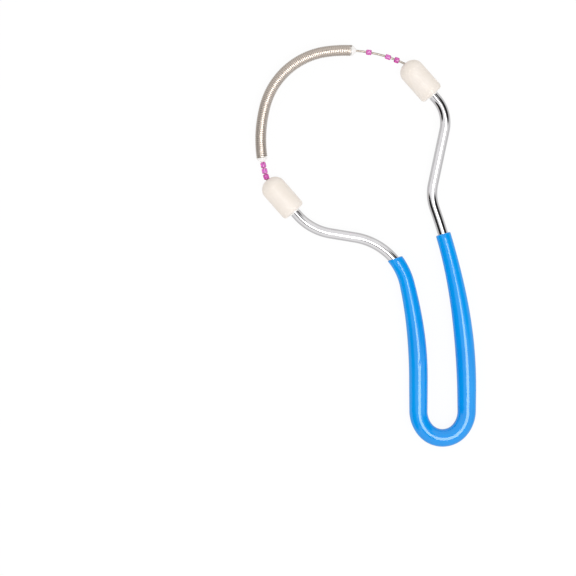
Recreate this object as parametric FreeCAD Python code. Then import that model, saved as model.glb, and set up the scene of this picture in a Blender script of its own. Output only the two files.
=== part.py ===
import FreeCAD, Part
import math
import os

# A hand tool that plucks fine facial hair with a close-wound coil spring. The spring is held in a
# curve by a thin core wire, and both ends of that wire sit in caps on a bent, chromed rod. The rod's
# return bend is the handle, and a soft sleeve covers it.
#
# Lengths are in millimetres and turns in degrees. The tool is drawn flat in the XY plane, with the
# handle's return bend at the bottom and its left leg straight up, and is laid down at the end.

# Rod: one round bar, bent cold. The turns are those met on a walk from the left cap, down the left
# arm, round the return bend and up the right arm to the right cap. A left-hand turn is positive. The
# return bend is pulled round a smaller former at its crown than at its two sides.
ROD_DIAMETER = 4.0
ROD_END_CHAMFER = 0.4
LEFT_NECK = 1.8
LEFT_WRIST_RADIUS = 21.4
LEFT_WRIST_ANGLE = 39.3
LEFT_FOREARM = 9.8
LEFT_ELBOW_RADIUS = 24.8
LEFT_ELBOW_ANGLE = -67.3
LEFT_BOW_RADIUS = 155.0
LEFT_BOW_ANGLE = -13.3
LEFT_LEG = 12.25
RETURN_SIDE_RADIUS = 11.4
RETURN_SIDE_ANGLE = 40.0
RETURN_CROWN_RADIUS = 8.65
RETURN_ANGLE = 180.0
RIGHT_LEG = 6.2
RIGHT_BOW_RADIUS = 214.0
RIGHT_BOW_ANGLE = 19.6
RIGHT_ELBOW_RADIUS = 16.8
RIGHT_ELBOW_ANGLE = -31.6
RIGHT_FOREARM = 21.2
RIGHT_WRIST_RADIUS = 14.0
RIGHT_WRIST_ANGLE = 53.6
RIGHT_NECK = 2.0

# Sleeve: soft vinyl, thick over the legs and thin towards its two ends. Reaches are measured along
# the rod from the ends of the return bend. The left end is cut at a slant, and it stands a little off
# the rod's centre towards the outside of the elbow.
SLEEVE_FIT = 0.05
SLEEVE_LEFT_REACH = 60.1
SLEEVE_LEFT_SWELL_AT = 16.1
SLEEVE_RIGHT_SWELL_AT = 20.6
SLEEVE_RIGHT_REACH = 69.0
SLEEVE_LEFT_END_DIAMETER = 5.7
SLEEVE_LEFT_SWELL_DIAMETER = 7.3
SLEEVE_BEND_DIAMETER = 6.9
SLEEVE_RIGHT_SWELL_DIAMETER = 7.6
SLEEVE_RIGHT_END_DIAMETER = 5.9
SLEEVE_EDGE_ROUND = 0.5
SLEEVE_LEFT_SLANT = 20.0
SLEEVE_LEFT_SHIFT = 0.45
SLEEVE_SHIFT_RUN = 12.0
SLEEVE_SECTION_STEP = 8.0
SLEEVE_SECTION_ANGLE = 10.0

# Caps: bullet-shaped mouldings, pushed over the rod ends and drilled in the nose for the core wire.
CAP_DIAMETER = 9.6
CAP_LENGTH = 16.1
CAP_NOSE_HEIGHT = 4.1
CAP_TAIL_ROUND = 1.3
CAP_ROD_DEPTH = 9.0
CAP_ROD_FIT = 0.05
CAP_WIRE_FIT = 0.05
CAP_MOUTH_DIAMETER = 1.8
CAP_MOUTH_DEPTH = 1.4

# Core wire: seated straight in the caps, kinked where it leaves them, and bowed in three arcs.
WIRE_DIAMETER = 0.8
WIRE_END_GAP = 0.6
WIRE_KINK_INSET = 0.9
WIRE_KINK_RADIUS = 2.2
WIRE_KINK_ANGLE = 23.2
BOW_SHOULDER_ANGLE = 33.0
BOW_CROWN_RADIUS = 28.4

# Spring: close-wound round wire. Its turns are modelled as a stack of rings, each a crest between
# two roots, with a few flat sides so that the many turns stay light. It fills the core wire between
# the two bare stretches.
SPRING_DIAMETER = 4.3
SPRING_WIRE = 0.7
SPRING_PITCH = 0.717
SPRING_GROOVE_DEPTH = 0.26
SPRING_SIDES = 12

# End plugs: a stem in the spring and a cone outside it, drilled for the core wire.
PLUG_RIM_STEP = 0.1
PLUG_RIM_WIDTH = 0.35
PLUG_CONE_LENGTH = 1.6
PLUG_TIP_DIAMETER = 1.7
PLUG_STEM_LENGTH = 4.0
PLUG_STEM_FIT = 0.05
PLUG_WIRE_FIT = 0.1

# Beads: glass spacers on the bare core wire. Three are packed between the left cap and the spring's
# lower plug. Three are loose between the right cap and the upper plug, each with its gap towards the
# right cap's nose.
BEAD_DIAMETER = 2.2
BEAD_LENGTH = 2.2
BEAD_WIRE_FIT = 0.15
BEAD_EDGE = 0.45
PACKED_BEAD_COUNT = 3
PACKED_GAP = 0.12
LOOSE_GAP_1 = 2.2
LOOSE_GAP_2 = 1.35
LOOSE_GAP_3 = 5.4
LOOSE_GAP_TO_PLUG = 3.9


def heading_vector(heading):
    """Unit vector in the drawing plane."""
    angle = math.radians(heading)
    return FreeCAD.Vector(math.cos(angle), math.sin(angle), 0)


class Route:
    """The centre line of a bent bar: straight runs and arcs that meet without a corner."""

    def __init__(self, start, heading):
        self.start = start
        self.heading = heading
        self.runs = []

    def straight(self, length):
        self.runs.append((length, 0.0))

    def bend(self, radius, turn):
        self.runs.append((radius * math.radians(abs(turn)), turn))

    def length(self):
        return sum(length for length, turn in self.runs)

    def at(self, distance):
        """Point and heading at a distance along the route."""
        point, heading = self.start, self.heading
        for length, turn in self.runs:
            part = min(distance, length)
            turned = turn * part / length
            half = math.radians(turned / 2)
            chord = part * (math.sin(half) / half if half else 1.0)
            point = point + heading_vector(heading + turned / 2) * chord
            heading += turned
            distance -= part
            if distance <= 0:
                break
        return point, heading

    def end(self):
        return self.at(self.length())

    def wire(self):
        edges = []
        distance = 0.0
        for length, turn in self.runs:
            first, middle, last = (self.at(distance + length * share)[0] for share in (0, 0.5, 1))
            curve = Part.Arc(first, middle, last) if turn else Part.LineSegment(first, last)
            edges.append(curve.toShape())
            distance += length
        return Part.Wire(edges)

    def part(self, first, last):
        """The same centre line between two distances."""
        piece = Route(*self.at(first))
        passed = 0.0
        for length, turn in self.runs:
            kept = min(last, passed + length) - max(first, passed)
            if kept > 1e-6:
                piece.runs.append((kept, turn * kept / length))
            passed += length
        return piece

    def bar(self, diameter):
        """Round bar of one diameter along the whole route."""
        section = Part.makeCircle(diameter / 2, self.start, heading_vector(self.heading))
        return self.wire().makePipe(Part.Face(Part.Wire(section)))

    def beside(self, distance, shift):
        """Point on the left of the route, and the heading there."""
        point, heading = self.at(distance)
        return point + heading_vector(heading + 90) * shift, heading

    def circle(self, distance, diameter, shift):
        centre, heading = self.beside(distance, shift)
        return Part.Wire(Part.makeCircle(diameter / 2, centre, heading_vector(heading)))

    def slanted_ring(self, distance, diameter, shift, slant):
        """Outline of a round bar that is cut at a slant."""
        centre, heading = self.beside(distance, shift)
        radius = diameter / 2
        across = heading_vector(heading + 90 - slant) * (radius / math.cos(math.radians(slant)))
        ellipse = Part.Ellipse(centre + across, centre + FreeCAD.Vector(0, 0, radius), centre)
        return Part.Wire(ellipse.toShape())

    def polygon(self, distance, diameter, sides):
        """Regular polygon across the route."""
        point, heading = self.at(distance)
        side_axis = heading_vector(heading + 90)
        corners = []
        for index in range(sides + 1):
            angle = 2 * math.pi * (index % sides) / sides
            across = side_axis * math.cos(angle) + FreeCAD.Vector(0, 0, math.sin(angle))
            corners.append(point + across * (diameter / 2))
        return Part.makePolygon(corners)


def rod_route():
    left_turns = LEFT_WRIST_ANGLE + LEFT_ELBOW_ANGLE + LEFT_BOW_ANGLE
    route = Route(FreeCAD.Vector(), -90 - left_turns)
    route.straight(CAP_ROD_DEPTH + LEFT_NECK)
    route.bend(LEFT_WRIST_RADIUS, LEFT_WRIST_ANGLE)
    route.straight(LEFT_FOREARM)
    route.bend(LEFT_ELBOW_RADIUS, LEFT_ELBOW_ANGLE)
    route.bend(LEFT_BOW_RADIUS, LEFT_BOW_ANGLE)
    route.straight(LEFT_LEG)
    left_length = route.length()
    route.bend(RETURN_SIDE_RADIUS, RETURN_SIDE_ANGLE)
    route.bend(RETURN_CROWN_RADIUS, RETURN_ANGLE - 2 * RETURN_SIDE_ANGLE)
    route.bend(RETURN_SIDE_RADIUS, RETURN_SIDE_ANGLE)
    right_from = route.length()
    route.straight(RIGHT_LEG)
    route.bend(RIGHT_BOW_RADIUS, RIGHT_BOW_ANGLE)
    route.bend(RIGHT_ELBOW_RADIUS, RIGHT_ELBOW_ANGLE)
    route.straight(RIGHT_FOREARM)
    route.bend(RIGHT_WRIST_RADIUS, RIGHT_WRIST_ANGLE)
    route.straight(RIGHT_NECK + CAP_ROD_DEPTH)
    return route, left_length, right_from


def turned(profile, origin, heading):
    """Solid of revolution. The profile's X runs along the axis, and its Y is the radius."""
    solid = Part.Face(Part.Wire(profile)).revolve(
        FreeCAD.Vector(), FreeCAD.Vector(1, 0, 0), 360)
    solid.rotate(FreeCAD.Vector(), FreeCAD.Vector(0, 0, 1), heading)
    solid.translate(origin)
    return solid


def closed_outline(points):
    corners = [FreeCAD.Vector(x, y, 0) for x, y in points]
    return Part.makePolygon(corners + corners[:1]).Edges


def rims(bar, end, width):
    """Edges round the end of a bar."""
    return [edge for edge in bar.Edges
            if all(vertex.Point.distanceToPoint(end) < 0.51 * width for vertex in edge.Vertexes)]


def make_rod(route):
    rod = route.bar(ROD_DIAMETER)
    edges = rims(rod, route.start, ROD_DIAMETER) + rims(rod, route.end()[0], ROD_DIAMETER)
    return rod.makeChamfer(ROD_END_CHAMFER, edges)


def sleeve_knots(left_length, right_from):
    """Distances along the rod at which the sleeve has a measured diameter."""
    return (
        (left_length - SLEEVE_LEFT_REACH, SLEEVE_LEFT_END_DIAMETER),
        (left_length - SLEEVE_LEFT_SWELL_AT, SLEEVE_LEFT_SWELL_DIAMETER),
        ((left_length + right_from) / 2, SLEEVE_BEND_DIAMETER),
        (right_from + SLEEVE_RIGHT_SWELL_AT, SLEEVE_RIGHT_SWELL_DIAMETER),
        (right_from + SLEEVE_RIGHT_REACH, SLEEVE_RIGHT_END_DIAMETER),
    )


def sleeve_diameter(distance, knots):
    """Diameter at a distance along the rod, eased between the measured ones."""
    for (first, thin), (last, thick) in zip(knots, knots[1:]):
        if distance <= last:
            break
    share = (distance - first) / (last - first)
    return thin + (thick - thin) * (1 - math.cos(math.pi * share)) / 2


def sleeve_sections(route, knots):
    """Distance and diameter of each section, closer together where the rod is bent more."""
    distance, last = knots[0][0], knots[-1][0]
    sections = [knots[0]]
    for length, turn in route.part(distance, last).runs:
        count = math.ceil(max(length / SLEEVE_SECTION_STEP, abs(turn) / SLEEVE_SECTION_ANGLE))
        for index in range(1, count + 1):
            place = distance + length * index / count
            sections.append((place, sleeve_diameter(place, knots)))
        distance += length
    return sections


def sleeve_shift(passed):
    """How far the sleeve stands off the rod's centre at a distance from its left end."""
    return SLEEVE_LEFT_SHIFT * max(0.0, 1 - passed / SLEEVE_SHIFT_RUN)


def make_sleeve(route, sections):
    (first, left_diameter), (last, right_diameter) = sections[0], sections[-1]
    rings = [route.slanted_ring(first, left_diameter, SLEEVE_LEFT_SHIFT, SLEEVE_LEFT_SLANT)]
    for distance, diameter in sections[1:]:
        rings.append(route.circle(distance, diameter, sleeve_shift(distance - first)))
    sleeve = Part.makeLoft(rings, True, True)

    bore = ROD_DIAMETER + 2 * SLEEVE_FIT
    lip_width = left_diameter / math.cos(math.radians(SLEEVE_LEFT_SLANT))
    left_end = route.beside(first, SLEEVE_LEFT_SHIFT)[0]
    left_wall = (left_diameter - bore) / 2 - SLEEVE_LEFT_SHIFT
    right_wall = (right_diameter - bore) / 2
    for end, width, wall in ((left_end, lip_width, left_wall), (route.at(last)[0], right_diameter, right_wall)):
        sleeve = sleeve.makeFillet(min(SLEEVE_EDGE_ROUND, 0.8 * wall), rims(sleeve, end, width))
    overrun = 2.0
    return sleeve.cut(route.part(first - overrun, last + overrun).bar(bore))


def make_cap(origin, heading):
    """Cap whose tail is at the origin and whose nose points along the heading."""
    radius = CAP_DIAMETER / 2
    rod_hole = ROD_DIAMETER / 2 + CAP_ROD_FIT
    wire_hole = WIRE_DIAMETER / 2 + CAP_WIRE_FIT
    mouth = CAP_MOUTH_DIAMETER / 2
    shoulder = CAP_LENGTH - CAP_NOSE_HEIGHT
    mouth_angle = math.acos(mouth / radius)
    corner = CAP_TAIL_ROUND * (1 - math.sqrt(0.5))

    def at(x, y):
        return FreeCAD.Vector(x, y, 0)

    ellipse = Part.Ellipse(at(shoulder, radius), at(CAP_LENGTH, 0), at(shoulder, 0))
    if CAP_NOSE_HEIGHT > radius:
        ellipse = Part.Ellipse(at(CAP_LENGTH, 0), at(shoulder, radius), at(shoulder, 0))
    nose_tip = at(shoulder + CAP_NOSE_HEIGHT * math.sin(mouth_angle), mouth)
    ends = sorted((ellipse.parameter(at(shoulder, radius)), ellipse.parameter(nose_tip)))
    nose = Part.ArcOfEllipse(ellipse, *ends).toShape()
    tail = Part.Arc(at(0, radius - CAP_TAIL_ROUND), at(corner, radius - corner),
                    at(CAP_TAIL_ROUND, radius)).toShape()
    side = Part.makeLine(at(CAP_TAIL_ROUND, radius), at(shoulder, radius))
    inside = Part.makePolygon([
        nose_tip,
        at(CAP_LENGTH - CAP_MOUTH_DEPTH, wire_hole),
        at(CAP_ROD_DEPTH, wire_hole),
        at(CAP_ROD_DEPTH, rod_hole),
        at(0, rod_hole),
        at(0, radius - CAP_TAIL_ROUND),
    ]).Edges
    return turned([tail, side, nose] + inside, origin, heading)


def wire_seat():
    """Length of core wire inside a cap, from its end, just clear of the rod, to the nose."""
    return CAP_LENGTH - CAP_ROD_DEPTH - WIRE_END_GAP


def nose_lead(tail, heading, turn):
    """Core wire from its end in a cap to just outside the nose."""
    lead = Route(tail + heading_vector(heading) * (CAP_ROD_DEPTH + WIRE_END_GAP), heading)
    lead.straight(wire_seat() - WIRE_KINK_INSET)
    lead.bend(WIRE_KINK_RADIUS, turn)
    return lead


def arc_step(first, last):
    """Displacement per unit of radius of a right-hand arc between two headings."""
    first, last = math.radians(first), math.radians(last)
    return FreeCAD.Vector(math.sin(first) - math.sin(last), math.cos(last) - math.cos(first), 0)


def core_route(left_tail, left_heading, right_tail, right_heading):
    """Core wire from cap to cap. Its shoulder arcs are as large as the two caps' places ask."""
    route = nose_lead(left_tail, left_heading, -WIRE_KINK_ANGLE)
    far = nose_lead(right_tail, right_heading, WIRE_KINK_ANGLE)
    start, leaving = route.end()
    end, facing = far.end()
    arriving = facing - 180
    crown_first = leaving - BOW_SHOULDER_ANGLE
    crown_last = arriving + BOW_SHOULDER_ANGLE
    left_step = arc_step(leaving, crown_first)
    right_step = arc_step(crown_last, arriving)
    rest = end - start - arc_step(crown_first, crown_last) * BOW_CROWN_RADIUS
    spread = left_step.cross(right_step).z
    left_shoulder = rest.cross(right_step).z / spread
    right_shoulder = left_step.cross(rest).z / spread
    route.bend(left_shoulder, -BOW_SHOULDER_ANGLE)
    route.bend(BOW_CROWN_RADIUS, crown_last - crown_first)
    route.bend(right_shoulder, -BOW_SHOULDER_ANGLE)
    route.bend(WIRE_KINK_RADIUS, -WIRE_KINK_ANGLE)
    route.straight(wire_seat() - WIRE_KINK_INSET)
    return route


def make_spring(route, first, last):
    """Stack of rings between two distances along the core wire, with a plain bore."""
    turns = round((last - first) / SPRING_PITCH)
    root = SPRING_DIAMETER - 2 * SPRING_GROOVE_DEPTH
    rings = []
    for index in range(2 * turns + 1):
        place = first + (last - first) * index / (2 * turns)
        rings.append(route.polygon(place, SPRING_DIAMETER if index % 2 else root, SPRING_SIDES))
    bore = route.part(first - SPRING_PITCH, last + SPRING_PITCH)
    return Part.makeLoft(rings, True, True).cut(bore.bar(SPRING_DIAMETER - 2 * SPRING_WIRE))


def make_plug(route, rim_at, side):
    """Plug in an end of the spring. Its cone points along the route, or back where side is -1."""
    point, heading = route.at(rim_at)
    rim = SPRING_DIAMETER / 2 - PLUG_RIM_STEP
    outline = closed_outline([
        (0, 0),
        (PLUG_CONE_LENGTH, 0),
        (PLUG_CONE_LENGTH, PLUG_TIP_DIAMETER / 2),
        (PLUG_RIM_WIDTH, rim),
        (0, rim),
    ])
    cone = turned(outline, point, heading if side > 0 else heading + 180)
    inner_end = rim_at - side * PLUG_STEM_LENGTH
    outer_end = rim_at + side * PLUG_CONE_LENGTH
    stem = route.part(*sorted((inner_end, rim_at)))
    hole = route.part(*sorted((inner_end - side * PLUG_RIM_WIDTH, outer_end + side * PLUG_RIM_WIDTH)))
    plug = cone.fuse(stem.bar(SPRING_DIAMETER - 2 * SPRING_WIRE - 2 * PLUG_STEM_FIT))
    return plug.cut(hole.bar(WIRE_DIAMETER + 2 * PLUG_WIRE_FIT))


def make_bead(route, distance):
    half = BEAD_LENGTH / 2
    radius = BEAD_DIAMETER / 2
    hole = WIRE_DIAMETER / 2 + BEAD_WIRE_FIT
    edge = min(BEAD_EDGE, 0.9 * (radius - hole))
    outline = closed_outline([
        (-half, hole),
        (half, hole),
        (half, radius - edge),
        (half - edge, radius),
        (edge - half, radius),
        (-half, radius - edge),
    ])
    return turned(outline, *route.at(distance))


def bead_places(nose, direction, gaps):
    """Centres of a string of beads that starts at a cap's nose, and the end of the last bead."""
    places = []
    passed = 0.0
    for gap in gaps:
        places.append(nose + direction * (passed + gap + BEAD_LENGTH / 2))
        passed += gap + BEAD_LENGTH
    return places, nose + direction * passed


def lay_down(pieces, left_tail, right_tail, route, sections):
    """Tips the drawing plane so that the tool lies on both caps' tails and on its sleeve."""
    line = right_tail - left_tail
    line.normalize()
    tilt = math.pi
    for distance, diameter in sections:
        away = (route.at(distance)[0] - left_tail).cross(line).z
        if away > CAP_LENGTH:
            tilt = min(tilt, math.asin((CAP_DIAMETER - diameter) / 2 / away))
    for piece in pieces.values():
        piece.rotate(left_tail, line, math.degrees(tilt))
    box = FreeCAD.BoundBox()
    for piece in pieces.values():
        box.add(piece.optimalBoundingBox(False, False))
    for piece in pieces.values():
        piece.translate(FreeCAD.Vector(-box.Center.x, -box.Center.y, -box.ZMin))


def build():
    route, left_length, right_from = rod_route()
    left_end, left_inward = route.at(0)
    right_end, right_heading = route.end()
    left_heading = left_inward + 180
    left_tail = left_end - heading_vector(left_heading) * CAP_ROD_DEPTH
    right_tail = right_end - heading_vector(right_heading) * CAP_ROD_DEPTH
    sections = sleeve_sections(route, sleeve_knots(left_length, right_from))

    core = core_route(left_tail, left_heading, right_tail, right_heading)
    left_nose = wire_seat()
    right_nose = core.length() - wire_seat()
    packed, packed_end = bead_places(left_nose, 1, PACKED_BEAD_COUNT * [PACKED_GAP])
    loose, loose_end = bead_places(right_nose, -1, [LOOSE_GAP_1, LOOSE_GAP_2, LOOSE_GAP_3])
    spring_first = packed_end + PACKED_GAP + PLUG_CONE_LENGTH
    spring_last = loose_end - LOOSE_GAP_TO_PLUG - PLUG_CONE_LENGTH

    pieces = {
        "frame_rod": make_rod(route),
        "handle_sleeve": make_sleeve(route, sections),
        "left_cap": make_cap(left_tail, left_heading),
        "right_cap": make_cap(right_tail, right_heading),
        "core_wire": core.bar(WIRE_DIAMETER),
        "coil_spring": make_spring(core, spring_first, spring_last),
        "left_plug": make_plug(core, spring_first, -1),
        "right_plug": make_plug(core, spring_last, 1),
    }
    for index, place in enumerate(packed):
        pieces[f"packed_bead_{index + 1}"] = make_bead(core, place)
    for index, place in enumerate(loose):
        pieces[f"loose_bead_{index + 1}"] = make_bead(core, place)

    lay_down(pieces, left_tail, right_tail, route, sections)
    return pieces


os.makedirs("parts", exist_ok=True)
for name, piece in build().items():
    solid = piece.Solids[0] if piece.ShapeType != "Solid" else piece
    solid.exportStep(f"parts/{name}.step")
    box = solid.BoundBox
    print(name, solid.isValid(), round(solid.Volume, 2), len(solid.Faces),
          [round(v, 2) for v in (box.XMin, box.YMin, box.ZMin, box.XMax, box.YMax, box.ZMax)])
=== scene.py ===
# %% [markdown]
# # A facial hair removal spring
# A close-wound spring is bowed over a thin wire, between two caps on a bent, chromed rod. The rod's
# return bend is the handle, inside a glossy blue sleeve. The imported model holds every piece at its
# real size, so it is loaded first and everything else is built around it.
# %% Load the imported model
from math import acos, ceil, cos, degrees, exp, hypot, pi, radians, sin, tan

import bmesh
import bpy
from mathutils import Matrix, Vector


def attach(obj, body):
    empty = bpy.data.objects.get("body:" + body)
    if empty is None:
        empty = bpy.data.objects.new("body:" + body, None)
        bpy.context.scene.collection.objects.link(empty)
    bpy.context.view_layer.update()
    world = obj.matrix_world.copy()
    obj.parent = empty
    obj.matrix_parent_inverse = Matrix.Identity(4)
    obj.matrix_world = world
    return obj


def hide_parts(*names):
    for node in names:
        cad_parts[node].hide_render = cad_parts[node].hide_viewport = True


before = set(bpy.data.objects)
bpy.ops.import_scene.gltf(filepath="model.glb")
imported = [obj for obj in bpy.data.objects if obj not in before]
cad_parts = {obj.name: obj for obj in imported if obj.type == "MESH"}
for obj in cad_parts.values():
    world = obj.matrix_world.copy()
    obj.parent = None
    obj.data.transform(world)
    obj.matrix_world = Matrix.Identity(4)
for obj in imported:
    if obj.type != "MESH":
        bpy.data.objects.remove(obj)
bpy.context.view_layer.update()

MM = 0.001

# %% [markdown]
# ## The camera
# The tool lies on a white table and the lens looks straight down at it. A long lens far away keeps
# the rod's two arms the same width, as they are in the photograph. A camera without any turn looks
# along -Z, so only its place matters.
# %% Put up the camera
VIEW_CENTRE = Vector((-0.0299, -0.01615, 0.0045))
VIEW_WIDTH = 0.2214
CAMERA_HEIGHT = 0.9

lens = bpy.data.cameras.new("table_camera")
lens.sensor_width = 36
lens.lens = lens.sensor_width * CAMERA_HEIGHT / VIEW_WIDTH
camera = bpy.data.objects.new("table_camera", lens)
camera.location = VIEW_CENTRE + Vector((0, 0, CAMERA_HEIGHT))
bpy.context.collection.objects.link(camera)
bpy.context.scene.camera = camera
print("lens, mm:", round(lens.lens))

# %% [markdown]
# ## A bent bar's centre line
# The rod and the core wire are both bent from straight bar in one plane, so straight runs and arcs
# that meet without a corner describe them as a bending machine would. `at` gives the place of a cross
# section: X along the bar, Y to its left and Z up. Sizes stay in millimetres until a piece is done.
# %% Walk along a bent bar
class Route:
    def __init__(self, x, y, heading):
        self.end = Matrix.Translation((x, y, 0)) @ Matrix.Rotation(radians(heading), 4, "Z")
        self.length = 0.0
        self.runs = []

    def straight(self, length):
        self.add(length, 0.0)

    def bend(self, radius, turn):
        self.add(radius * radians(abs(turn)), radians(turn))

    def add(self, length, turn):
        self.runs.append((self.length, length, turn, self.end))
        self.length += length
        self.end = self.at(self.length)

    def at(self, distance):
        first, length, turn, start = [run for run in self.runs if run[0] <= max(distance, 0)][-1]
        half = turn * (distance - first) / length / 2
        chord = (distance - first) * (sin(half) / half if half else 1.0)
        twist = Matrix.Rotation(half, 4, "Z")
        return start @ twist @ Matrix.Translation((chord, 0, 0)) @ twist

    def steps(self, first, last, reach, angle):
        """Distances from first to last, no further apart than reach or than a turn of angle."""
        places = [first]
        for passed, length, turn, place in self.runs:
            start, end = max(first, passed), min(last, passed + length)
            if end - start > 1e-6:
                turned = abs(degrees(turn)) * (end - start) / length
                count = ceil(max((end - start) / reach, turned / angle))
                places += [start + (end - start) * step / count for step in range(1, count + 1)]
        return places


rod_line = Route(0, 0, -48.7)
rod_line.straight(10.8)
rod_line.bend(21.4, 39.3)
rod_line.straight(9.8)
rod_line.bend(24.8, -67.3)
rod_line.bend(155, -13.3)
rod_line.straight(12.25)
BEND_FROM = rod_line.length
rod_line.bend(11.4, 40)
rod_line.bend(8.65, 100)
rod_line.bend(11.4, 40)
BEND_TO = rod_line.length
rod_line.straight(6.2)
rod_line.bend(214, 19.6)
rod_line.bend(16.8, -31.6)
rod_line.straight(21.2)
rod_line.bend(14, 53.6)
rod_line.straight(11)
print("rod, mm:", round(rod_line.length, 1))

# %% [markdown]
# The core wire starts inside the left cap and ends inside the right one. It runs straight in each
# cap, takes a small kink where it leaves, and is bowed in three arcs between.
# %% Walk along the core wire
CAP_ROD_DEPTH = 9.0
CAP_LENGTH = 16.1
WIRE_KINK = -23.2

wire_line = Route(-0.396, 0.45076, 131.3)
wire_line.straight(5.6)
wire_line.bend(2.2, WIRE_KINK)
wire_line.bend(50.0261, -33)
wire_line.bend(28.4, -67.3)
wire_line.bend(53.4084, -33)
wire_line.bend(2.2, WIRE_KINK)
wire_line.straight(5.6)
print("core wire, mm:", round(wire_line.length, 1))

# %% [markdown]
# ## From the drawing to the table
# Both lines are drawn flat, but the caps are thicker than the sleeve, so the tool rests on the two
# caps' tails and on its sleeve, tipped by half a degree. One matrix tips the drawing about the line
# between the tails, moves it to the row's origin and turns millimetres into metres.
# %% Lay the drawing on the table
TAIL_LINE = Vector((0.7634, 0.64593, 0))
TIP = radians(0.6508)
left_tail = rod_line.at(0) @ Vector((CAP_ROD_DEPTH, 0, 0))
right_tail = rod_line.at(rod_line.length) @ Vector((-CAP_ROD_DEPTH, 0, 0))
LAID = (
    Matrix.Scale(MM, 4)
    @ Matrix.Translation((-33.3643, 19.9632, 4.7998))
    @ Matrix.Translation(left_tail)
    @ Matrix.Rotation(TIP, 4, TAIL_LINE)
    @ Matrix.Translation(-left_tail)
)
print("left tail, m:", [round(v, 4) for v in LAID @ left_tail])

# %% [markdown]
# ## Turning a mesh into a piece
# Every piece is finished the same way: doubles merged, faces turned outwards, laid on the table,
# smoothed with its crisp edges kept, and tied to the body, while the imported solids that it stands for
# are hidden.
# Each point also remembers where it was on the straight bar, so that drawing marks can follow a bend.
# %% Finish a piece
BODY = "root"
MERGE = 0.0004


def make_piece(name, bm, slot_name, *solids, sharp=40):
    bmesh.ops.remove_doubles(bm, verts=bm.verts, dist=MERGE)
    bmesh.ops.recalc_face_normals(bm, faces=bm.faces)
    bmesh.ops.transform(bm, matrix=LAID, verts=bm.verts)
    mesh = bpy.data.meshes.new(name)
    bm.to_mesh(mesh)
    bm.free()
    mesh.shade_smooth()
    mesh.set_sharp_from_angle(angle=radians(sharp))
    made = bpy.data.objects.new(name, mesh)
    bpy.context.collection.objects.link(made)
    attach(made, BODY)
    if solids:
        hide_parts(*solids)
    mesh.calc_loop_triangles()
    print(name, "triangles:", len(mesh.loop_triangles))
    return made


# %% [markdown]
# ## Bars
# A round bar is one circle, extruded section by section along its line. Each step moves the new ring
# by the matrix between two sections, which carries it round a bend and changes its diameter at once.
# A curve with a bevel would do for an even bar, but not for a sleeve whose thickness changes.
# %% Sweep a circle along a line
ACROSS = Matrix.Rotation(radians(90), 4, "Y")


def section(line, distance, diameter, shift=0.0, slant=0.0):
    """Places a unit circle across a line, moved to its left and turned by a slant."""
    leaning = Matrix.Shear("XZ", 4, (tan(radians(slant)), 0))
    return (line.at(distance) @ Matrix.Translation((0, shift, 0)) @ leaning
            @ Matrix.Diagonal((1, diameter, diameter, 1)) @ ACROSS)


def remember(bm, verts, line, distance):
    """Keeps where the points are on the straight bar, in millimetres."""
    straightened = bm.verts.layers.float_vector["bar"]
    back = line.at(distance).inverted()
    for vert in verts:
        vert[straightened] = back @ vert.co + Vector((distance, 0, 0))


def sweep(line, stations, sides):
    bm = bmesh.new()
    bm.verts.layers.float_vector.new("bar")
    placed = section(line, *stations[0])
    bmesh.ops.create_circle(bm, segments=sides, radius=0.5, matrix=placed)
    edges = bm.edges[:]
    remember(bm, bm.verts, line, stations[0][0])
    for station in stations[1:]:
        made = bmesh.ops.extrude_edge_only(bm, edges=edges)["geom"]
        ring = {item for item in made if isinstance(item, bmesh.types.BMVert)}
        edges = [item for item in made
                 if isinstance(item, bmesh.types.BMEdge) and ring.issuperset(item.verts)]
        following = section(line, *station)
        bmesh.ops.transform(bm, matrix=following @ placed.inverted(), verts=list(ring))
        remember(bm, ring, line, station[0])
        placed = following
    return bm


def close_ends(bm):
    rims = [edge for edge in bm.edges if edge.is_boundary]
    bmesh.ops.holes_fill(bm, edges=rims, sides=0)


# %% [markdown]
# ## The rod
# The rod is one 4 mm steel bar, bent cold and chromed. Both ends are chamfered, though the caps hide
# them. Chrome mirrors every facet, so the bends get a section every two degrees.
# %% Make the rod
ROD_DIAMETER = 4.0
ROD_CHAMFER = 0.4

rod_end = rod_line.length
stations = [(0, ROD_DIAMETER - 2 * ROD_CHAMFER)]
stations += [(distance, ROD_DIAMETER)
             for distance in rod_line.steps(ROD_CHAMFER, rod_end - ROD_CHAMFER, 5, 2)]
stations += [(rod_end, ROD_DIAMETER - 2 * ROD_CHAMFER)]
bm = sweep(rod_line, stations, sides=64)
close_ends(bm)
rod = make_piece("chromed_rod", bm, "chromed_rod", "frame_rod")

# %% [markdown]
# ## The sleeve
# The handle is a soft vinyl sleeve, dipped or pushed on: thickest over the legs, thinner round the
# bend, and tapered to a rounded lip at each end. Its diameter is known at five places and eased
# between them. The wall is one closed sweep, out along the skin and back along the bore.
# %% Ease the sleeve's diameter
SLEEVE_ENDS = (BEND_FROM - 60.1, BEND_TO + 69)
SLEEVE_SIZES = (
    (SLEEVE_ENDS[0], 5.7),
    (BEND_FROM - 16.1, 7.3),
    ((BEND_FROM + BEND_TO) / 2, 6.9),
    (BEND_TO + 20.6, 7.6),
    (SLEEVE_ENDS[1], 5.9),
)
SLEEVE_BORE = 4.1
SLEEVE_LIP = 0.5
SLEEVE_LIP_WALL = 0.65
SLEEVE_SLANT = 20
SLEEVE_SLANT_RUN = 9
SLEEVE_SHIFT = 0.45
SLEEVE_SHIFT_RUN = 12
SLEEVE_TRIM = 0.08


def sleeve_diameter(distance):
    for (first, thin), (last, thick) in zip(SLEEVE_SIZES, SLEEVE_SIZES[1:]):
        if distance <= last:
            break
    share = (distance - first) / (last - first)
    return thin + (thick - thin) * (1 - cos(pi * share)) / 2


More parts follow.
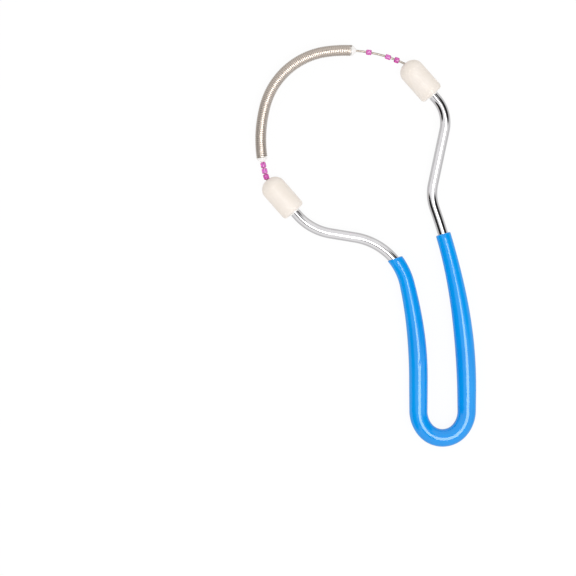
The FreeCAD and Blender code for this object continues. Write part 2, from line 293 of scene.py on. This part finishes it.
# %% [markdown]
# The left end was cut at a slant, and the stiff sleeve stands off the rod's centre there, towards the
# outside of the elbow. Both die out along the handle. Each section lies between the bore's circle and
# the skin's circle, so a lip stays inside the wall where the wall is thin. The skin is trimmed by a
# hair, because the solid is ruled straight between its sections and may not be stood outside of.
# %% Make the sleeve
def sleeve_station(distance, wall=1.0):
    """A section of the sleeve, from the bore at wall 0 to the skin at wall 1."""
    passed = distance - SLEEVE_ENDS[0]
    shift = SLEEVE_SHIFT * max(0, 1 - passed / SLEEVE_SHIFT_RUN) * wall
    slant = SLEEVE_SLANT
    if passed > 0:
        slant *= max(0, 1 - passed / SLEEVE_SLANT_RUN) ** 1.5
    diameter = SLEEVE_BORE + (sleeve_diameter(distance) - SLEEVE_TRIM - SLEEVE_BORE) * wall
    return distance, diameter, shift, slant


def lip(end, inward, steps=6):
    """Stations round the rounded edge of one end, from the end face to the full diameter."""
    angles = [radians(90) * step / steps for step in range(steps + 1)]
    return [sleeve_station(end + inward * SLEEVE_LIP * (1 - cos(angle)),
                           1 - SLEEVE_LIP_WALL * (1 - sin(angle)))
            for angle in angles]


left_lip = lip(SLEEVE_ENDS[0], 1)
right_lip = lip(SLEEVE_ENDS[1], -1)
skin = [sleeve_station(distance)
        for distance in rod_line.steps(left_lip[-1][0], right_lip[-1][0], 1.6, 4)]
bore = [sleeve_station(distance, 0.0) for distance in rod_line.steps(*SLEEVE_ENDS, 5, 4)]
bm = sweep(rod_line, left_lip + skin[1:-1] + right_lip[::-1] + bore[::-1] + left_lip[:1], sides=72)

# %% [markdown]
# The vinyl has one flaw, a burst bubble on top of the left leg: a pit no wider than a pinhead, with a
# raised rim. Such a small form needs a finer mesh, so only the faces round it are subdivided, and
# each point is then lifted by a height that depends on its distance from the pit's centre.
# %% Raise the burst bubble
BUBBLE_AT = Vector((53.88, -64.74, 3.63))
BUBBLE_REACH = 1.5
BUBBLE_RIM = (0.11, 0.62, 0.27)
BUBBLE_PIT = (0.20, 0.27)

for cuts in (2, 1):
    near = [edge for edge in bm.edges
            if all((vert.co - BUBBLE_AT).length < BUBBLE_REACH for vert in edge.verts)]
    bmesh.ops.subdivide_edges(bm, edges=near, cuts=cuts, use_grid_fill=True)
height, rim_radius, width = BUBBLE_RIM
pit_depth, spread = BUBBLE_PIT
for vert in [vert for vert in bm.verts if (vert.co - BUBBLE_AT).length < BUBBLE_REACH]:
    away = hypot(vert.co.x - BUBBLE_AT.x, vert.co.y - BUBBLE_AT.y)
    vert.co.z += height * exp(-((away - rim_radius) / width) ** 2)
    vert.co.z -= pit_depth * exp(-(away / spread) ** 2)
sleeve = make_piece("vinyl_sleeve", bm, "blue_vinyl", "handle_sleeve")

# %% [markdown]
# ## Turned parts
# Caps, plugs and beads are round about an axis, so each is half an outline, spun once round. A pen
# draws the outline with operators: a vertex is extruded for a straight line and spun for an arc.
# %% Draw an outline and spin it
class Pen:
    """An outline whose X runs along the axis and whose Y is the radius."""

    def __init__(self, x, y):
        self.bm = bmesh.new()
        self.bm.verts.layers.float_vector.new("bar")
        self.tip = self.bm.verts.new((x, y, 0))

    def line(self, x, y):
        self.tip = bmesh.ops.extrude_vert_indiv(self.bm, verts=[self.tip])["verts"][0]
        self.tip.co = (x, y, 0)

    def arc(self, x, y, turn, steps=8, squeeze=1.0):
        """Turns about a centre, and squeezes the arc along the axis."""
        drawn = set(self.bm.verts)
        made = bmesh.ops.spin(self.bm, geom=[self.tip], cent=(x, y, 0), axis=(0, 0, 1),
                              angle=radians(turn), steps=steps)
        fresh = [vert for vert in self.bm.verts if vert not in drawn]
        bmesh.ops.scale(self.bm, vec=(squeeze, 1, 1), verts=fresh,
                        space=Matrix.Translation((-x, 0, 0)))
        self.tip = [item for item in made["geom_last"] if isinstance(item, bmesh.types.BMVert)][0]

    def spun(self, place, sides):
        bm = self.bm
        bmesh.ops.spin(bm, geom=bm.verts[:] + bm.edges[:], cent=(0, 0, 0), axis=(1, 0, 0),
                       angle=radians(360), steps=sides, use_merge=True)
        bmesh.ops.remove_doubles(bm, verts=bm.verts, dist=MERGE)
        straightened = bm.verts.layers.float_vector["bar"]
        for vert in bm.verts:
            vert[straightened] = vert.co
        bmesh.ops.transform(bm, matrix=place, verts=bm.verts)
        return bm


# %% [markdown]
# ## The caps
# Two cream mouldings hold the tool together. Each is bullet-shaped, with a blunt nose that is half an
# ellipse, a straight side with next to no draft, and a rounded tail where the rod goes in. The nose
# opens in a small mouth for the wire.
# %% Make the caps
CAP_RADIUS = 4.79
CAP_NOSE = 4.1
CAP_TAIL_ROUND = 1.3
CAP_MOUTH = 0.9
CAP_MOUTH_DEPTH = 1.4
ROD_HOLE = 2.05
WIRE_HOLE = 0.45
MOUTH_ROUND = 0.25
CAP_SIDES = 72

shoulder = CAP_LENGTH - CAP_NOSE
turned_back = Matrix.Rotation(pi, 4, "Z")
left_cap_place = rod_line.at(0) @ Matrix.Translation((CAP_ROD_DEPTH, 0, 0)) @ turned_back
right_cap_place = rod_line.at(rod_end) @ Matrix.Translation((-CAP_ROD_DEPTH, 0, 0))


def cap_outline():
    pen = Pen(0, ROD_HOLE)
    pen.line(0, CAP_RADIUS - CAP_TAIL_ROUND)
    pen.arc(CAP_TAIL_ROUND, CAP_RADIUS - CAP_TAIL_ROUND, -90, steps=10)
    pen.line(shoulder / 2, CAP_RADIUS)
    pen.line(shoulder, CAP_RADIUS)
    lean = degrees(acos((CAP_MOUTH + MOUTH_ROUND) / CAP_RADIUS))
    pen.arc(shoulder, 0, -lean, steps=20, squeeze=CAP_NOSE / CAP_RADIUS)
    lip_x = pen.tip.co.x
    pen.arc(lip_x - MOUTH_ROUND, CAP_MOUTH + MOUTH_ROUND, 90, steps=4)
    pen.line(CAP_LENGTH - CAP_MOUTH_DEPTH, WIRE_HOLE)
    pen.line(CAP_ROD_DEPTH, WIRE_HOLE)
    pen.line(CAP_ROD_DEPTH, ROD_HOLE)
    pen.line(0, ROD_HOLE)
    return pen


caps = [
    make_piece("cream_cap_left", cap_outline().spun(left_cap_place, CAP_SIDES),
               "cream_plastic", "left_cap"),
    make_piece("cream_cap_right", cap_outline().spun(right_cap_place, CAP_SIDES),
               "cream_plastic", "right_cap"),
]

# %% [markdown]
# The caps are glued on. A little white glue has squeezed out round the rod and dried as a ring at
# each cap's tail. It is a small ring with a hollow face, spun like the caps.
# %% Make the glue rings
GLUE_REACH = 0.45
GLUE_WIDTH = 0.7
GLUE_INSIDE = 0.2
GLUE_SIDES = 48


def glue_outline():
    inner = ROD_DIAMETER / 2
    pen = Pen(GLUE_INSIDE, inner)
    pen.line(-GLUE_REACH, inner)
    pen.arc(-GLUE_REACH, inner + GLUE_REACH, 90, steps=6)
    pen.line(0, inner + GLUE_WIDTH)
    pen.line(GLUE_INSIDE, inner + GLUE_WIDTH)
    pen.line(GLUE_INSIDE, inner)
    return pen


glue = [
    make_piece("glue_ring_left", glue_outline().spun(left_cap_place, GLUE_SIDES), "cream_plastic"),
    make_piece("glue_ring_right", glue_outline().spun(right_cap_place, GLUE_SIDES), "cream_plastic"),
]

# %% [markdown]
# ## The core wire
# A thin spring-steel wire, from cap to cap. It is swept like the rod, with fewer sides.
# %% Make the core wire
WIRE_DIAMETER = 0.8
stations = [(distance, WIRE_DIAMETER) for distance in wire_line.steps(0, wire_line.length, 4, 3)]
bm = sweep(wire_line, stations, sides=20)
close_ends(bm)
core_wire = make_piece("bow_wire", bm, "spring_steel", "core_wire")

# %% [markdown]
# ## The spring
# The spring does the plucking: hairs are caught between its turns when it bends. It is wound from
# 0.7 mm wire with the turns all but touching, and has 88 turns. A small circle is spun about the axis with
# a step along it, which winds a straight spring, and each point is then moved onto the bowed wire.
# %% Wind the spring
SPRING_DIAMETER = 4.3
SPRING_WIRE = 0.7
SPRING_TURNS = 88
TURN_STEPS = 24
SPRING_SPAN = (15.18, 78.3645)
SPRING_WIRE_SIDES = 10

wind_radius = (SPRING_DIAMETER - SPRING_WIRE) / 2
pitch = (SPRING_SPAN[1] - SPRING_SPAN[0] - SPRING_WIRE) / SPRING_TURNS
bm = bmesh.new()
straightened = bm.verts.layers.float_vector.new("bar")
start = Matrix.Translation((SPRING_SPAN[0] + SPRING_WIRE / 2, wind_radius, 0))
ring = bmesh.ops.create_circle(bm, segments=SPRING_WIRE_SIDES, radius=SPRING_WIRE / 2,
                               matrix=start)["verts"]
bmesh.ops.spin(bm, geom=ring + bm.edges[:], cent=(0, 0, 0), axis=(1, 0, 0),
               dvec=(pitch / TURN_STEPS, 0, 0), angle=radians(360) * SPRING_TURNS,
               steps=TURN_STEPS * SPRING_TURNS)
close_ends(bm)
print("spring pitch, mm:", round(pitch, 3), "points:", len(bm.verts))

# %% [markdown]
# Use has worn the crowns of the turns a little flat, so their highlights join in one long line. For
# that, each point keeps the direction straight out of the coil.
# %% Bend the spring onto the wire
crown = bm.verts.layers.float_vector.new("crown")
for vert in bm.verts:
    vert[straightened] = vert.co
    outward = Vector((0, vert.co.y, vert.co.z))
    bent = wire_line.at(vert.co.x)
    vert[crown] = (LAID @ bent).to_3x3() @ outward.normalized()
    vert.co = bent @ outward
spring = make_piece("wound_spring", bm, "spring_steel", "coil_spring", sharp=80)

# %% [markdown]
# ## The end plugs
# A white plastic plug sits in each end of the spring: a rim as wide as the spring, then a short cone
# towards the bare wire. Moulded edges are never sharp, so the rim is rounded by a small arc, and the
# cone's two edges are broken by short chamfers.
# %% Make the plugs
PLUG_RIM = 2.05
PLUG_RIM_WIDTH = 0.35
PLUG_LENGTH = 1.6
PLUG_TIP = 0.85
PLUG_HOLE = 0.5
PLUG_STEM = (1.4, 1.8)
PLUG_EDGE = 0.1
PLUG_SIDES = 40
#              along before the edge, along after it, and across
RIM_CHAMFER = (0.05, 0.12, 0.14)
TIP_CHAMFER = (0.2, 0.06, 0.12)


def plug_outline():
    stem_radius, stem_length = PLUG_STEM
    rim_before, rim_after, rim_across = RIM_CHAMFER
    tip_before, tip_after, tip_across = TIP_CHAMFER
    pen = Pen(-stem_length, PLUG_HOLE)
    pen.line(-stem_length, stem_radius)
    pen.line(0, stem_radius)
    pen.line(0, PLUG_RIM - PLUG_EDGE)
    pen.arc(PLUG_EDGE, PLUG_RIM - PLUG_EDGE, -90, steps=4)
    pen.line(PLUG_RIM_WIDTH - rim_before, PLUG_RIM)
    pen.line(PLUG_RIM_WIDTH + rim_after, PLUG_RIM - rim_across)
    pen.line(PLUG_LENGTH - tip_before, PLUG_TIP + tip_across)
    pen.line(PLUG_LENGTH - tip_after, PLUG_TIP)
    pen.line(PLUG_LENGTH, PLUG_TIP - tip_across)
    pen.line(PLUG_LENGTH, PLUG_HOLE)
    pen.line(-stem_length, PLUG_HOLE)
    return pen


lower = wire_line.at(SPRING_SPAN[0]) @ turned_back
upper = wire_line.at(SPRING_SPAN[1])
plugs = [
    make_piece("white_plug_lower", plug_outline().spun(lower, PLUG_SIDES),
               "white_plastic", "left_plug"),
    make_piece("white_plug_upper", plug_outline().spun(upper, PLUG_SIDES),
               "white_plastic", "right_plug"),
]

# %% [markdown]
# ## The beads
# Six glass seed beads space the spring off the caps. Seed beads are cut from a thin glass tube and
# tumbled in heat, so each is a short ring with melted edges, and no two are quite alike. Each gets
# its own length, width and lean on the wire, and its own depth of pink.
# %% Make the beads
BEAD_RADIUS = 1.1
BEAD_LENGTH = 2.2
BEAD_HOLE = 0.55
BEAD_EDGE = 0.42
HOLE_EDGE = 0.1
BEAD_SIDES = 40
PACKED = (7.72, 10.04, 12.36)
LOOSE = (96.1145, 92.5645, 84.9645)
#        place, solid's name, along, across, lean in degrees, depth of colour
BEADS = (
    (PACKED[0], "packed_bead_1", 0.98, 1.00, 2.0, 0.95),
    (PACKED[1], "packed_bead_2", 0.95, 0.97, -3.0, 0.35),
    (PACKED[2], "packed_bead_3", 0.97, 0.95, 1.5, 0.60),
    (LOOSE[0], "loose_bead_1", 0.88, 1.00, 3.0, 1.00),
    (LOOSE[1], "loose_bead_2", 1.00, 0.86, -2.0, 0.55),
    (LOOSE[2], "loose_bead_3", 0.97, 0.92, 4.0, 0.75),
)


def bead_outline():
    half = BEAD_LENGTH / 2
    pen = Pen(-half + HOLE_EDGE, BEAD_HOLE)
    pen.arc(-half + HOLE_EDGE, BEAD_HOLE + HOLE_EDGE, -90, steps=3)
    pen.line(-half, BEAD_RADIUS - BEAD_EDGE)
    pen.arc(-half + BEAD_EDGE, BEAD_RADIUS - BEAD_EDGE, -90, steps=7)
    pen.line(half - BEAD_EDGE, BEAD_RADIUS)
    pen.arc(half - BEAD_EDGE, BEAD_RADIUS - BEAD_EDGE, -90, steps=7)
    pen.line(half, BEAD_HOLE + HOLE_EDGE)
    pen.arc(half - HOLE_EDGE, BEAD_HOLE + HOLE_EDGE, -90, steps=3)
    pen.line(-half + HOLE_EDGE, BEAD_HOLE)
    return pen


beads = []
for place, solid, along, across, lean, depth in BEADS:
    own = (wire_line.at(place) @ Matrix.Rotation(radians(lean), 4, "Z")
           @ Matrix.Diagonal((along, across, across, 1)))
    bm = bead_outline().spun(own, BEAD_SIDES)
    tint = bm.verts.layers.float.new("depth")
    for vert in bm.verts:
        vert[tint] = depth
    beads.append(make_piece("glass_" + solid, bm, "bead_glass", solid))

# %% [markdown]
# ## Writing a material as a formula
# A node's output is wrapped in a small class, so that `1 - mask` or `mask * 0.3` adds its Math node.
# Every other node comes from one method, which sets the node's options first and its sockets next.
# %% Wrap a node's output
class Value:
    def __init__(self, finish, socket):
        self.finish, self.socket = finish, socket

    def math(self, operation, *others):
        return self.finish.node("Math", {"operation": operation}, dict(enumerate(others)))

    def __add__(self, other):
        return self.math("ADD", self, other)

    def __sub__(self, other):
        return self.math("SUBTRACT", self, other)

    def __rsub__(self, other):
        return self.math("SUBTRACT", other, self)

    def __mul__(self, other):
        return self.math("MULTIPLY", self, other)

    def __truediv__(self, other):
        return self.math("DIVIDE", self, other)

    def __pow__(self, other):
        return self.math("POWER", self, other)

    __radd__, __rmul__ = __add__, __mul__


class Finish:
    """One material's nodes."""

    def __init__(self, name):
        self.material = bpy.data.materials.new(name)
        self.material.use_nodes = True
        self.tree = self.material.node_tree
        self.tree.nodes.clear()

    def node(self, kind, settings=None, sockets=None, output=0):
        made = self.tree.nodes.new("ShaderNode" + kind)
        for key, setting in (settings or {}).items():
            if key == "stops":
                ramp = made.color_ramp
                for _ in range(len(setting) - 2):
                    ramp.elements.new(0.5)
                for element, (position, colour) in zip(ramp.elements, setting):
                    element.position, element.color = position, colour
            else:
                setattr(made, key, setting)
        for key, value in (sockets or {}).items():
            if isinstance(value, Value):
                self.tree.links.new(value.socket, made.inputs[key])
            else:
                made.inputs[key].default_value = value
        return Value(self, made.outputs[output])

    def split(self, vector):
        """A vector's three numbers."""
        first = self.node("SeparateXYZ", {}, {0: vector})
        return [Value(self, socket) for socket in first.socket.node.outputs]

    def mix(self, share, first, second):
        """Two colours, mixed by a share."""
        return self.node("Mix", {"data_type": "RGBA"}, {0: share, 6: first, 7: second}, output=2)

    def noise(self, where, scale, detail=2.0, stretch=(1, 1, 1)):
        moved = self.node("Mapping", {}, {"Vector": where, "Scale": stretch})
        return self.node("TexNoise", {}, {"Vector": moved, "Scale": scale, "Detail": detail})

    def between(self, value, low, high):
        """0 below low, 1 above high, and smooth between."""
        return self.node("MapRange", {"interpolation_type": "SMOOTHSTEP"},
                         {"Value": value, "From Min": low, "From Max": high})

    def bump(self, height, distance, strength=1.0):
        return self.node("Bump", {}, {"Height": height, "Distance": distance, "Strength": strength})

    def surface(self, pieces, **sockets):
        """Ends in a Principled shader and coats the pieces with it."""
        names = {key: key.replace("_", " ") for key in sockets}
        shader = self.node("BsdfPrincipled", {}, {names[key]: value for key, value in sockets.items()})
        self.end(shader)
        for piece in pieces:
            piece.data.materials.append(self.material)

    def end(self, shader):
        output = self.tree.nodes.new("ShaderNodeOutputMaterial")
        self.tree.links.new(shader.socket, output.inputs["Surface"])


def srgb(red, green, blue):
    """A colour as a picture editor shows it, 0 to 255, as the linear colour that a socket takes."""
    linear = [(v / 255 / 12.92 if v <= 10 else ((v / 255 + 0.055) / 1.055) ** 2.4)
              for v in (red, green, blue)]
    return (*linear, 1.0)


# %% [markdown]
# ## Chrome
# Bright chrome is a metal with almost no roughness: what is seen is the room. The rod was drawn
# before it was bent, so the finest scratches run along it, and the plating has a faint haze.
# %% Coat the rod
chrome = Finish("bright_chrome")
bar = chrome.node("Attribute", {"attribute_name": "bar"}, output=1)
drawn = chrome.noise(bar, 1.0, detail=3, stretch=(0.05, 9, 9))
haze = chrome.noise(bar, 0.35, detail=4)
chrome.surface(
    [rod],
    Base_Color=chrome.mix(haze, srgb(214, 212, 213), srgb(228, 227, 229)),
    Metallic=1.0,
    Roughness=0.02 + 0.06 * (drawn * haze),
    Normal=chrome.bump(drawn, 0.000004),
)

# %% [markdown]
# ## Blue vinyl
# Soft vinyl is dyed through, glossy and a little uneven: the dip leaves slow ripples that make the
# long highlight wander, and the shade drifts slightly along the handle.
# %% Coat the sleeve
vinyl = Finish("blue_vinyl")
place = vinyl.node("TexCoord", {}, output=3)
drift = vinyl.noise(place, 45.0, detail=3)
ripple = vinyl.noise(place, 160.0, detail=2)
pores = vinyl.noise(place, 2200.0, detail=2)
vinyl.surface(
    [sleeve],
    Base_Color=vinyl.mix(vinyl.between(drift, 0.35, 0.65), srgb(0, 150, 238), srgb(2, 157, 243)),
    Roughness=0.045 + 0.03 * drift + 0.02 * pores,
    Normal=vinyl.bump(ripple + 0.02 * pores, 0.00002),
    IOR=1.52,
)

# %% [markdown]
# ## Cream and white plastic
# The caps are moulded in a cream plastic with a faint skin: soft dimples from the tool and a shade
# that is a touch warmer in patches. The plugs are a whiter and smoother plastic of the same family.
# %% Coat the caps and plugs
def moulded(name, pieces, colour, warmer, roughness, dimple):
    finish = Finish(name)
    place = finish.node("TexCoord", {}, output=3)
    cloud = finish.noise(place, 180.0, detail=4)
    skin_marks = finish.noise(place, 1500.0, detail=3)
    finish.surface(
        pieces,
        Base_Color=finish.mix(finish.between(cloud, 0.35, 0.7), colour, warmer),
        Roughness=roughness + 0.12 * cloud,
        Normal=finish.bump(skin_marks, dimple),
    )


moulded("cream_plastic", caps, srgb(248, 239, 230), srgb(245, 235, 224), 0.42, 0.00002)
moulded("white_plastic", plugs, srgb(254, 252, 250), srgb(251, 248, 244), 0.30, 0.00001)
moulded("dried_glue", glue, srgb(250, 248, 244), srgb(245, 241, 235), 0.18, 0.00005)

# %% [markdown]
# ## Spring steel
# The spring and the core wire are plain steel wire, satin from drawing and slightly warm in tone. Where
# the crowns are worn, the light falls as if on a plain tube: the surface's own normal is mixed with
# the direction straight out of the coil.
# %% Coat the spring and the wire
def steel(name, pieces, bright, dull, roughness, worn=0.0):
    finish = Finish(name)
    bar = finish.node("Attribute", {"attribute_name": "bar"}, output=1)
    patches = finish.noise(bar, 0.8, detail=4)
    marks = finish.noise(bar, 6.0, detail=2)
    own = finish.node("NewGeometry", {}, output=1)
    crown = finish.node("Attribute", {"attribute_name": "crown"}, output=1)
    out = finish.node("VectorMath", {"operation": "NORMALIZE"}, {0: crown})
    facing = finish.node("Mix", {"data_type": "VECTOR"}, {0: worn, 4: own, 5: out}, output=1)
    facing = finish.node("VectorMath", {"operation": "NORMALIZE"}, {0: facing})
    finish.surface(
        pieces,
        Base_Color=finish.mix(patches, dull, bright),
        Metallic=1.0,
        Roughness=roughness + 0.12 * marks,
        Normal=finish.node("Bump", {}, {"Height": marks, "Distance": 0.000006, "Normal": facing}),
    )


steel("satin_spring", [spring], srgb(204, 193, 183), srgb(188, 177, 167), 0.32, worn=0.6)
steel("bright_wire", [core_wire], srgb(172, 162, 152), srgb(146, 137, 128), 0.25)

# %% [markdown]
# ## Pink glass
# The beads are transparent glass, dyed magenta, each to its own depth. Their colour is also painted with
# light: bright pink in the middle, where light comes up through them, and a painted shade of deep magenta
# at the ends and sides, where the way through the glass is longer.
# %% Coat the beads
glass = Finish("pink_glass")
depth = glass.node("Attribute", {"attribute_name": "depth"}, output=2)
place = glass.node("TexCoord", {}, output=3)
swirl = glass.noise(place, 900.0, detail=2)
along, aside, _ = glass.split(glass.node("Attribute", {"attribute_name": "bar"}, output=1))
# Painted shade: the colour is painted darker towards each bead's ends and sides, mixed with the bead's own
# depth of pink and a random swirl.
painted_edge_shade = (along / (BEAD_LENGTH / 2)) ** 4 + (aside / BEAD_RADIUS) ** 4
depth_and_painted_shade = glass.between(0.45 * depth + 0.55 * painted_edge_shade + 0.3 * (swirl - 0.5), 0.05, 0.95)
glass.surface(
    beads,
    Base_Color=glass.mix(depth_and_painted_shade, srgb(255, 158, 242), srgb(226, 48, 176)),
    Roughness=0.06 + 0.04 * swirl,
    IOR=1.5,
    Transmission_Weight=0.5,
)

# %% [markdown]
# ## The table
# The tool lies on plain white. To the camera the floor is an emission plus a little diffuse, so that it
# is pure white and still takes a faint shadow from the tool. Mirrored rays see an even pale grey, and
# all other rays see plain white paper.
# %% Lay the floor
FLOOR_WHITE = 1.01
FLOOR_SHADE = 0.09
FLOOR_MIRRORED = 0.72
FLOOR_PAPER = 0.85

bm = bmesh.new()
bmesh.ops.create_grid(bm, x_segments=1, y_segments=1, size=2.0)
mesh = bpy.data.meshes.new("table_top")
bm.to_mesh(mesh)
bm.free()
floor = bpy.data.objects.new("table_top", mesh)
bpy.context.collection.objects.link(floor)

table = Finish("white_table")
seen = table.node("LightPath", {}, output=0)
shiny = table.node("LightPath", {}, output=3)
through = table.node("LightPath", {}, output=6)
white = table.node("Emission", {}, {"Color": (1, 1, 1, 1), "Strength": FLOOR_WHITE - FLOOR_SHADE})
shaded = table.node("BsdfDiffuse", {}, {"Color": (FLOOR_SHADE,) * 3 + (1,)})
lit = table.node("AddShader", {}, {0: white, 1: shaded})
plain = table.node("BsdfDiffuse", {}, {"Color": (FLOOR_PAPER,) * 3 + (1,)})
mirrored = table.node("Emission", {}, {"Color": (1, 1, 1, 1), "Strength": FLOOR_MIRRORED})
direct = table.node("Math", {"operation": "MAXIMUM"}, {0: seen, 1: through})
bounced = table.node("MixShader", {}, {0: shiny, 1: plain, 2: mirrored})
table.end(table.node("MixShader", {}, {0: direct, 1: bounced, 2: lit}))
floor.data.materials.append(table.material)

# %% [markdown]
# ## Light
# One round softbox hangs overhead, a little towards the lower right. A pale tent gives most of the
# light. Mirrored rays don't see this lamp, because the tent holds its bright disc for them. A flat
# lamp's power is its brightness times its area times pi.
# %% Hang the softbox
SOFTBOX_WAY = Vector((0.20, -0.235, 0.95)).normalized()
SOFTBOX_AWAY = 1.0
SOFTBOX_ANGLE = 18.5
SOFTBOX_LEVEL = 2.3

radius = SOFTBOX_AWAY * tan(radians(SOFTBOX_ANGLE))
softbox = bpy.data.lights.new("softbox", "AREA")
softbox.shape = "DISK"
softbox.size = 2 * radius
softbox.energy = SOFTBOX_LEVEL * pi * pi * radius ** 2
lamp = bpy.data.objects.new("softbox", softbox)
lamp.location = VIEW_CENTRE + SOFTBOX_WAY * SOFTBOX_AWAY
lamp.rotation_mode = "QUATERNION"
lamp.rotation_quaternion = SOFTBOX_WAY.to_track_quat("Z", "Y")
lamp.visible_glossy = False
bpy.context.collection.objects.link(lamp)
print("softbox, W:", round(softbox.energy, 2))

# %% [markdown]
# Chrome shows the whole tent, so the dark places follow the dark lines in the rod: a tall one to the
# right, a tall one to the left, two narrow ones beside the softbox, the camera's edge, and a greyer
# horizon on both sides. The softbox's disc draws the thin highlight along the sleeve. Mirrored rays
# alone see all this. Each patch has a direction round the table, a distance from straight up and its
# half widths, all in degrees, and then its darkness.
# %% Paint the tent
ROOM_LEVEL = 0.80
SOFTBOX_GLOW = 8.0
#        round, from straight up, half widths, darkness
DARK = (
    (24, 62, 22, 30, 0.98),
    (199, 70, 20, 36, 0.98),
    (241, 24, 27, 10, 0.99),
    (42, 26, 10, 8, 0.95),
    (205, 4, 25, 4, 0.70),
    (172, 95, 42, 22, 0.30),
    (0, 92, 30, 14, 0.35),
)

room = bpy.data.worlds.new("studio")
bpy.context.scene.world = room
room.use_nodes = True


class Room(Finish):
    def __init__(self, world):
        self.tree = world.node_tree
        self.tree.nodes.clear()

    def end(self, shader):
        output = self.tree.nodes.new("ShaderNodeOutputWorld")
        self.tree.links.new(shader.socket, output.inputs["Surface"])


walls = Room(room)
seen = walls.node("LightPath", {}, output=0)
shiny = walls.node("LightPath", {}, output=3)
through = walls.node("LightPath", {}, output=6)
way = walls.node("TexCoord", {}, output=0)
_, _, up = walls.split(way)
steep = walls.node("Math", {"operation": "ARCCOSINE"}, {0: up}) * degrees(1)
bright = 1.0
for around, down, wide, high, darkness in DARK:
    turned = walls.node("VectorRotate", {"rotation_type": "Z_AXIS"},
                        {"Vector": way, "Angle": radians(-around)})
    ahead, side, _ = walls.split(turned)
    off = side.math("ARCTAN2", side, ahead) * (degrees(1) / wide)
    patch = 1 - walls.between((off * off + ((steep - down) / high) ** 2) ** 0.5, 0.8, 1.2)
    bright = (1 - darkness * patch) * bright
white = walls.node("Math", {"operation": "MAXIMUM"}, {0: seen, 1: through})
level = ROOM_LEVEL + shiny * (bright - ROOM_LEVEL) + white * (1.0 - ROOM_LEVEL)
towards = walls.node("VectorMath", {"operation": "DOT_PRODUCT"}, {0: way, 1: SOFTBOX_WAY}, output=1)
inside, outside = (cos(radians(SOFTBOX_ANGLE + edge)) for edge in (-1, 1))
glow = shiny * bright * walls.between(towards, outside, inside)
dark_wall = walls.node("Background", {}, {"Color": (0, 0, 0, 1), "Strength": 0.0})
pale_wall = walls.node("Background", {}, {"Color": (1, 1, 1, 1), "Strength": 1.0})
bright_box = walls.node("Background", {}, {"Color": (1, 1, 1, 1), "Strength": SOFTBOX_GLOW})
tent = walls.node("MixShader", {}, {0: level, 1: dark_wall, 2: pale_wall})
walls.end(walls.node("MixShader", {}, {0: glow, 1: tent, 2: bright_box}))

# %% [markdown]
# ## Settings
# Colours go to the picture as they are written. The dressed model may not be larger than the solids.
# %% Set the colour transform
bpy.context.scene.view_settings.view_transform = "Standard"
